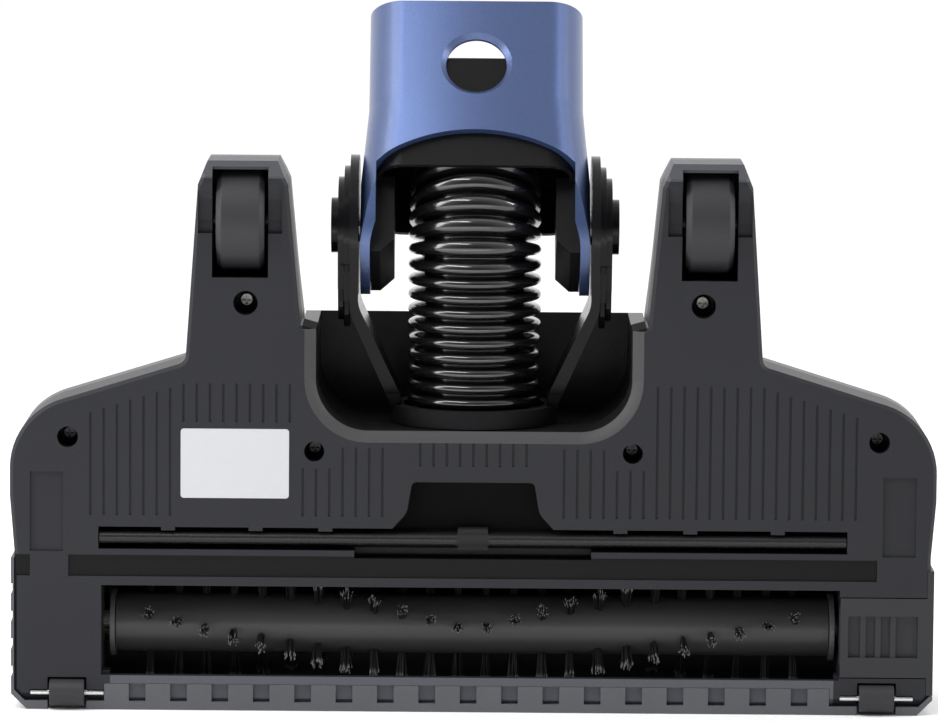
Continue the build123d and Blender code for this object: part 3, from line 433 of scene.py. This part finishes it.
def metallic_paint(name, tone):
    """Satin paint with fine flakes under a thin clear coat."""
    tree = Tree(name)
    flakes = tree.cells(flake_scale)
    glint = tree.node("ShaderNodeSeparateColor", Color=flakes).outputs["Red"]
    broad = tree.noise(paint_scale, 2.0)
    across = tree.node("ShaderNodeSeparateXYZ", Vector=tree.place).outputs["X"]
    crown = tree.math("MULTIPLY", tree.math("MULTIPLY", across, across), paint_crown)
    grain = tree.math("MULTIPLY", glint, flake_height)
    tree.set("Base Color", tree.mix(glint, shade(tone, 0.92), shade(tone, 1.08)))
    tree.set("Metallic", 0.6)
    tree.set("Roughness", tree.spread(broad, 0.34, 0.40))
    tree.set("Normal", tree.bump(tree.math("ADD", grain, crown), 1.0))
    tree.set("Coat Weight", 0.5)
    tree.set("Coat Roughness", 0.3)
    return tree.material


def turned_metal(name, tone, roughness, stretch=(0.05, 1, 1)):
    """Bright metal with fine drawn lines."""
    tree = Tree(name)
    lines = tree.noise(drawn_scale, 3.0, stretch)
    broad = tree.noise(stain_scale, 3.0)
    tree.set("Base Color", tree.mix(broad, shade(tone, 0.82), shade(tone, 1.05)))
    tree.set("Metallic", 1.0)
    tree.set("Roughness", tree.spread(lines, roughness - 0.08, roughness + 0.1))
    tree.set("Normal", tree.bump(lines, drawn_depth))
    return tree.material


def circuit_board(name, tone):
    """Green board with paler tracks."""
    tree = Tree(name)
    tracks = tree.node("ShaderNodeTexBrick", Vector=tree.place, Scale=track_scale).outputs["Fac"]
    tree.set("Base Color", tree.mix(tracks, tone, shade(tone, 1.7)))
    tree.set("Roughness", tree.spread(tree.noise(board_scale), 0.3, 0.45))
    return tree.material


def bristle_hair(name, tone, tip_tone):
    """Dark nylon hair with paler tips, and a different tone from hair to hair."""
    tree = Tree(name)
    strands = tree.noise(strand_scale, 2.0)
    stem = tree.mix(strands, shade(tone, 0.7), shade(tone, 1.9))
    out = tree.reach((0, brush_y, brush_z))
    tip = tree.spread(out, 0.0, 1.0, tuft_tip_r - tip_fade_low, tuft_tip_r - tip_fade_high)
    tree.set("Base Color", tree.mix(tip, stem, tip_tone))
    tree.set("Roughness", tree.spread(strands, 0.32, 0.5))
    tree.set("Specular IOR Level", 0.2)
    return tree.material


def bare_plate(name, tone):
    """Off-white satin film with a faint fibre."""
    tree = Tree(name)
    fibre = tree.noise(fibre_scale, 4.0, (0.35, 1, 1))
    tree.set("Base Color", tree.mix(fibre, shade(tone, 0.97), shade(tone, 1.02)))
    tree.set("Roughness", tree.spread(fibre, 0.42, 0.55))
    tree.set("Normal", tree.bump(fibre, fibre_depth))
    return tree.material


def floor_paint(name, tone):
    """Pale matt floor with a very faint drift."""
    tree = Tree(name)
    tree.set("Base Color", tree.mix(tree.noise(floor_scale), shade(tone, 0.99), tone))
    tree.set("Roughness", 0.7)
    return tree.material


finishes = {
    "case_plastic": case_plastic("case_plastic", (0.0205, 0.021, 0.0245), 0.45),
    "cover_plastic": cover_plastic("cover_plastic", (0.027, 0.0275, 0.031), 0.36),
    "cap_plastic": moulded("cap_plastic", (0.022, 0.0225, 0.026), 0.45, gloss=0.25),
    "bumper_rubber": moulded("bumper_rubber", (0.070, 0.073, 0.082), 0.5),
    "fork_plastic": partly_dull(
        "fork_plastic", (0.006, 0.006, 0.007), 0.2, fork_collar, depth=0.004 * mm, gloss=0.15),
    "hose_plastic": moulded(
        "hose_plastic", (0.006, 0.006, 0.006), 0.16, depth=0.002 * mm, gloss=0.9),
    "cuff_plastic": moulded("cuff_plastic", (0.006, 0.006, 0.006), 0.5, gloss=0.2),
    "neck_blue": metallic_paint("neck_blue", (0.050, 0.083, 0.200)),
    "liner_plastic": moulded("liner_plastic", (0.006, 0.006, 0.0065), 0.4, gloss=0.12),
    "wheel_grey": moulded("wheel_grey", (0.024, 0.024, 0.027), 0.55, grain=0.7 * mm, gloss=0.32),
    "steel": turned_metal("steel", (0.66, 0.66, 0.66), 0.28),
    "zinc_steel": turned_metal("zinc_steel", (0.34, 0.34, 0.33), 0.4),
    # Dark steel: the wheel axles' own finish, and painted shade on the screws deep in the case
    "blackened_steel_and_screw_shade": turned_metal("blackened_steel_and_screw_shade", (0.05, 0.05, 0.052), 0.4),
    "chamber_plastic": moulded("chamber_plastic", (0.020, 0.020, 0.021), 0.5),
    "core_plastic": moulded("core_plastic", (0.030, 0.030, 0.032), 0.42, grain=0.9 * mm),
    "hub_plastic": moulded("hub_plastic", (0.065, 0.066, 0.070), 0.45),
    "bristle": bristle_hair("bristle", (0.008, 0.008, 0.008), (0.18, 0.18, 0.18)),
    "strip": partly_dull(
        "strip", (0.014, 0.014, 0.015), 0.30, strip_clip, depth=0.03 * mm, gloss=0.28),
    "motor_metal": turned_metal("motor_metal", (0.36, 0.36, 0.37), 0.38),
    "pulley": moulded("pulley", (0.5, 0.5, 0.48), 0.45),
    "belt": moulded("belt", (0.018, 0.018, 0.018), 0.7),
    "bearing": turned_metal("bearing", (0.6, 0.45, 0.22), 0.42),
    "board": circuit_board("board", (0.04, 0.2, 0.09)),
    "contact": turned_metal("contact", (0.8, 0.62, 0.28), 0.25),
}


# Pieces whose finish differs from the rest of their slot
own_finish = {
    "wheel_axle_left": "blackened_steel_and_screw_shade",
    "wheel_axle_right": "blackened_steel_and_screw_shade",
    "brush_hub_left": "hub_plastic",
    "brush_hub_right": "hub_plastic",
}


# Carried-over CAD pieces
def soften(piece):
    """Breaks a piece's sharp edges."""
    edge = piece.modifiers.new("edge", "BEVEL")
    edge.width = edge_width
    edge.segments = edge_segments
    return edge


def finish_node(name):
    """Gives a CAD piece its finish and breaks its sharp edges."""
    piece = nodes[name]
    piece.data.materials.clear()
    piece.data.materials.append(finishes[own_finish.get(name, slot_of[name])])
    weld = piece.modifiers.new("weld", "WELD")
    weld.merge_threshold = weld_distance
    edge = soften(piece)
    edge.limit_method = "ANGLE"
    edge.angle_limit = edge_angle
    edge.use_clamp_overlap = True
    normals = piece.modifiers.new("normals", "WEIGHTED_NORMAL")
    normals.keep_sharp = True


for node_name in nodes:
    finish_node(node_name)


# Pieces made here
def add_object(name, data):
    made = bpy.data.objects.new(name, data)
    bpy.context.scene.collection.objects.link(made)
    return made


def add_mesh(name, mesh, material):
    """Links a finished mesh as an object with one material."""
    data = bpy.data.meshes.new(name)
    mesh.to_mesh(data)
    mesh.free()
    data.materials.append(material)
    return add_object(name, data)


def new_piece(name, mesh, material, body, *replaced):
    """Links a finished mesh, puts it on its body and hides the CAD pieces that it stands for."""
    mesh.normal_update()
    piece = add_mesh(name, mesh, material)
    if body:
        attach(piece, body)
    if replaced:
        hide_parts(*replaced)
    return piece


def smooth(mesh):
    for face in mesh.faces:
        face.smooth = True


def ring(mesh, centre, across, along, radius, sides):
    """Ring of vertices round a centre, in the plane of two unit directions."""
    made = []
    for step in range(sides):
        turn = 2 * math.pi * step / sides
        out = math.cos(turn) * across + math.sin(turn) * along
        made.append(mesh.verts.new(centre + radius * out))
    return made


def bridge(mesh, first, second):
    """Faces between two loops of as many vertices."""
    count = len(first)
    for step in range(count):
        after = (step + 1) % count
        mesh.faces.new((first[step], first[after], second[after], second[step]))


def hose_station(distance):
    """Centre and direction of the hose at a distance along it: upright, an arc, along the neck."""
    bend_r = hose_bend_reach / math.tan(neck_lean / 2)
    bend_z = pivot_z - hose_bend_reach
    straight = bend_z - hose_foot_z
    if distance <= straight:
        return Vector((0, swivel_y, hose_foot_z + distance)), Vector((0, 0, 1))
    turn = min((distance - straight) / bend_r, neck_lean)
    centre = Vector((0, swivel_y + bend_r * (1 - math.cos(turn)), bend_z + bend_r * math.sin(turn)))
    direction = Vector((0, math.sin(turn), math.cos(turn)))
    return centre + direction * max(distance - straight - bend_r * neck_lean, 0), direction


def hose():
    """Corrugated hose with full round ridges and tight valleys, and a plain bore."""
    bend = hose_bend_reach / math.tan(neck_lean / 2) * neck_lean
    length = pivot_z - hose_bend_reach - hose_foot_z + bend + hose_head - hose_bend_reach
    pitch = length / hose_ridges
    across = Vector((1, 0, 0))
    mesh = bmesh.new()
    ridge = ridge_profile + [(1 - share, height) for share, height in ridge_profile[-2:0:-1]]
    stations = []
    for turn in range(hose_ridges):
        stations += [((turn + share) * pitch, height) for share, height in ridge]
    outer = []
    inner = []
    for distance, height in stations + [(length, 0.0)]:
        centre, direction = hose_station(distance)
        up = direction.cross(across)
        radius = hose_root_r + (hose_crest_r - hose_root_r) * height
        outer.append(ring(mesh, centre, across, up, radius, hose_sides))
        if height in (0.0, 1.0):
            inner.append(ring(mesh, centre, across, up, hose_bore_r, hose_sides))
    for rings, flip in ((outer, False), (inner, True)):
        for first, second in zip(rings, rings[1:]):
            bridge(mesh, *((second, first) if flip else (first, second)))
    bridge(mesh, inner[0], outer[0])
    bridge(mesh, outer[-1], inner[-1])
    smooth(mesh)
    piece = new_piece("hose_soft", mesh, finishes["hose_plastic"], None, "hose")
    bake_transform(piece)


def fork_cheeks():
    """Round lower ends of the stepped plates on the fork, down beside its arms."""
    mesh = bmesh.new()
    for inner_x, half_top, half_low, low_z in cheek_plates:
        corners = [(half_top, cheek_top_z), (-half_top, cheek_top_z)]
        for step in range(cheek_steps + 1):
            turn = math.pi * (1 + step / cheek_steps)
            corners.append((half_low * math.cos(turn), low_z + cheek_end * (1 + math.sin(turn))))
        for side in (-1, 1):
            near_x = side * inner_x
            far_x = side * (inner_x + cheek_thick)
            near = [mesh.verts.new((near_x, swivel_y + y, z)) for y, z in corners]
            far = [mesh.verts.new((far_x, swivel_y + y, z)) for y, z in corners]
            bridge(mesh, near, far)
            mesh.faces.new(near)
            mesh.faces.new(far)
    bmesh.ops.recalc_face_normals(mesh, faces=mesh.faces)
    piece = new_piece("fork_cheeks", mesh, finishes["fork_plastic"], "fork")
    soften(piece)


def hair(mesh, foot, tip, side, bow):
    """Tapered hair from foot to tip, bowed towards one side."""
    axis = (tip - foot).normalized()
    other = axis.cross(side).normalized()
    first = other.cross(axis)
    rings = []
    for step in range(hair_steps + 1):
        share = step / hair_steps
        centre = foot.lerp(tip, share) + first * bow * math.sin(math.pi * share / 2) * share
        radius = hair_foot_r + (hair_tip_r - hair_foot_r) * share
        rings.append(ring(mesh, centre, first, other, radius, hair_sides))
    for low, high in zip(rings, rings[1:]):
        bridge(mesh, low, high)
    mesh.faces.new(list(reversed(rings[0])))
    mesh.faces.new(rings[-1])


def brush_hair():
    """Bundles of hair in helices that mirror about the middle of the roll."""
    rng = random.Random(hair_seed)
    per_half = int((brush_half - tuft_pitch / 2) / tuft_pitch)
    mesh = bmesh.new()
    for row in range(tuft_rows):
        for step in range(-per_half, per_half):
            x = (step + 0.5) * tuft_pitch
            turn = row * 2 * math.pi / tuft_rows - abs(x) * tuft_twist
            out = Vector((0, -math.sin(turn), math.cos(turn)))
            side = Vector((1, 0, 0))
            round_way = out.cross(side)
            middle = Vector((x, brush_y, brush_z))
            for _ in range(tuft_hairs):
                angle = rng.uniform(0, 2 * math.pi)
                reach = math.sqrt(rng.random())
                spread = side * math.cos(angle) + round_way * math.sin(angle)
                foot = middle + out * core_r * tuft_sunk + spread * reach * tuft_foot_r
                height = tuft_tip_r - rng.uniform(0, hair_ragged)
                tip = middle + out * height + spread * reach * tuft_head_r
                hair(mesh, foot, tip, side, rng.uniform(-hair_bow, hair_bow))
    piece = new_piece("brush_hair", mesh, finishes["bristle"], "brush", "brush_tufts")


def cross_outline(mesh, centre, depth):
    """Twelve corners of a cross recess, in the plane across Y."""
    w = cross_half_width
    n = cross_half_length
    quarter = [(w, w), (w, n), (-w, n)]
    corners = []
    for _ in range(4):
        corners += quarter
        quarter = [(-b, a) for a, b in quarter]
    return [mesh.verts.new(centre + Vector((a, depth, b))) for a, b in corners]


def screw(mesh, x, z):
    """Pan-head screw seen head on, with a rounded edge and a cross recess."""
    across = Vector((1, 0, 0))
    up = Vector((0, 0, 1))
    face_y = screw_seat_y - screw_head_thick
    seat = Vector((x, screw_seat_y, z))
    face = Vector((x, face_y, z))
    inward = Vector((0, 1, 0))
    turn = screw_edge * screw_edge_turn
    rim = ring(mesh, face, across, up, screw_head_r - screw_edge, screw_sides)
    shoulder = ring(mesh, face + inward * turn, across, up, screw_head_r - turn, screw_sides)
    flank = ring(mesh, face + inward * screw_edge, across, up, screw_head_r, screw_sides)
    base = ring(mesh, seat, across, up, screw_head_r, screw_sides)
    neck = ring(mesh, seat, across, up, screw_shank_r, screw_sides)
    point = ring(mesh, seat + inward * screw_length, across, up, screw_shank_r, screw_sides)
    rings = [rim, shoulder, flank, base, neck, point]
    for first, second in zip(rings, rings[1:]):
        bridge(mesh, first, second)
    mesh.faces.new(point)
    mouth = cross_outline(mesh, face, 0)
    floor = cross_outline(mesh, face, cross_depth)
    bridge(mesh, mouth, floor)
    mesh.faces.new(floor)
    loops = []
    for around in (rim, mouth):
        for pair in zip(around, around[1:] + around[:1]):
            edge = mesh.edges.get(pair)
            loops.append(mesh.edges.new(pair) if edge is None else edge)
    bmesh.ops.triangle_fill(mesh, use_beauty=True, use_dissolve=False, edges=loops)


def case_screws():
    """Bright screws in the legs and, as painted shade of their deep wells, black ones in the case,
    as one piece.
    """
    mesh = bmesh.new()
    for side in (-1, 1):
        screw(mesh, side * leg_screw[0], leg_screw[1])
    bright_faces = len(mesh.faces)
    for side in (-1, 1):
        for x, z in case_screw_places:
            screw(mesh, side * x, z)
    for index, face in enumerate(mesh.faces):
        face.material_index = int(index >= bright_faces)
    bmesh.ops.recalc_face_normals(mesh, faces=mesh.faces)
    piece = new_piece("screw_heads", mesh, finishes["zinc_steel"], "head", "case_screws")
    # The case screws get the dark steel as painted shade for their deep wells
    piece.data.materials.append(finishes["blackened_steel_and_screw_shade"])


def label_plate():
    """Bare rounded plate on the flat place between the grooves."""
    mesh = bmesh.new()
    corners = []
    for quarter, (a, b) in enumerate(((1, 1), (-1, 1), (-1, -1), (1, -1))):
        for step in range(corner_steps + 1):
            turn = math.pi / 2 * (quarter + step / corner_steps)
            x = a * (label_width / 2 - label_corner) + label_corner * math.cos(turn)
            z = b * (label_height / 2 - label_corner) + label_corner * math.sin(turn)
            corners.append((x, z))
    back = [mesh.verts.new((label_x + a, plate_y, label_z + b)) for a, b in corners]
    front = [mesh.verts.new((label_x + a, plate_y - label_thick, label_z + b)) for a, b in corners]
    bridge(mesh, back, front)
    mesh.faces.new(front)
    mesh.faces.new(list(reversed(back)))
    bmesh.ops.recalc_face_normals(mesh, faces=mesh.faces)
    new_piece("label_plate", mesh, bare_plate("label_film", (0.50, 0.505, 0.52)), "head")


hose()
fork_cheeks()
brush_hair()
case_screws()
label_plate()


# Floor, light and camera
def floor():
    mesh = bmesh.new()
    bmesh.ops.create_grid(mesh, x_segments=1, y_segments=1, size=floor_half)
    piece = add_mesh("floor", mesh, floor_paint("floor_paint", (0.95, 0.95, 0.95)))


def soft_light(name, place, target, size, power):
    data = bpy.data.lights.new(name, "AREA")
    data.shape = "RECTANGLE"
    data.size, data.size_y = size
    data.energy = power
    light = add_object(name, data)
    light.location = place
    light.rotation_euler = (Vector(target) - Vector(place)).to_track_quat("-Z", "Y").to_euler()
    light.visible_camera = False


def studio():
    """White sky that falls off to grey in front of the underside, and four soft lights."""
    world = bpy.data.worlds.new("studio")
    world.use_nodes = True
    tree = world.node_tree
    sky = tree.nodes["Background"]
    sky.inputs["Color"].default_value = (1, 1, 1, 1)
    way = tree.nodes.new("ShaderNodeTexCoord")
    split = tree.nodes.new("ShaderNodeSeparateXYZ")
    tree.links.new(way.outputs["Generated"], split.inputs["Vector"])
    fall = tree.nodes.new("ShaderNodeMapRange")
    tree.links.new(split.outputs["Y"], fall.inputs["Value"])
    fall.inputs["From Min"].default_value = front_way
    fall.inputs["From Max"].default_value = side_way
    fall.inputs["To Min"].default_value = front_sky
    fall.inputs["To Max"].default_value = side_sky
    tree.links.new(fall.outputs["Result"], sky.inputs["Strength"])
    bpy.context.scene.world = world
    bpy.context.scene.view_settings.view_transform = "Standard"
    middle = (cad_low + cad_high) / 2
    edge = (0, plate_y, 10.0 * mm)
    soft_light("key", place=(-0.5, -0.5, 1.15), target=middle, size=(0.8, 0.18), power=6.0)
    soft_light("left_side", place=(-1.0, -0.3, 0.55), target=middle, size=(0.4, 0.9), power=8.0)
    soft_light("right_side", place=(1.0, -0.15, 0.5), target=middle, size=(0.07, 0.9), power=4.5)
    soft_light("low_front", place=(-0.08, -0.30, 0.015), target=edge, size=(0.6, 0.03), power=0.20)


def camera():
    """Long lens, a little above square to the underside."""
    back = Vector((0, -math.cos(camera_lift), math.sin(camera_lift)))
    data = bpy.data.cameras.new("camera")
    data.sensor_width = camera_sensor
    data.lens = camera_lens
    data.clip_start, data.clip_end = camera_clip
    viewer = add_object("camera", data)
    turn = (-back).to_track_quat("-Z", "Y").to_matrix() @ Matrix.Rotation(camera_roll, 3, "Z")
    viewer.matrix_world = Matrix.LocRotScale(camera_target + back * camera_reach, turn, None)
    bpy.context.scene.camera = viewer


floor()
studio()
camera()
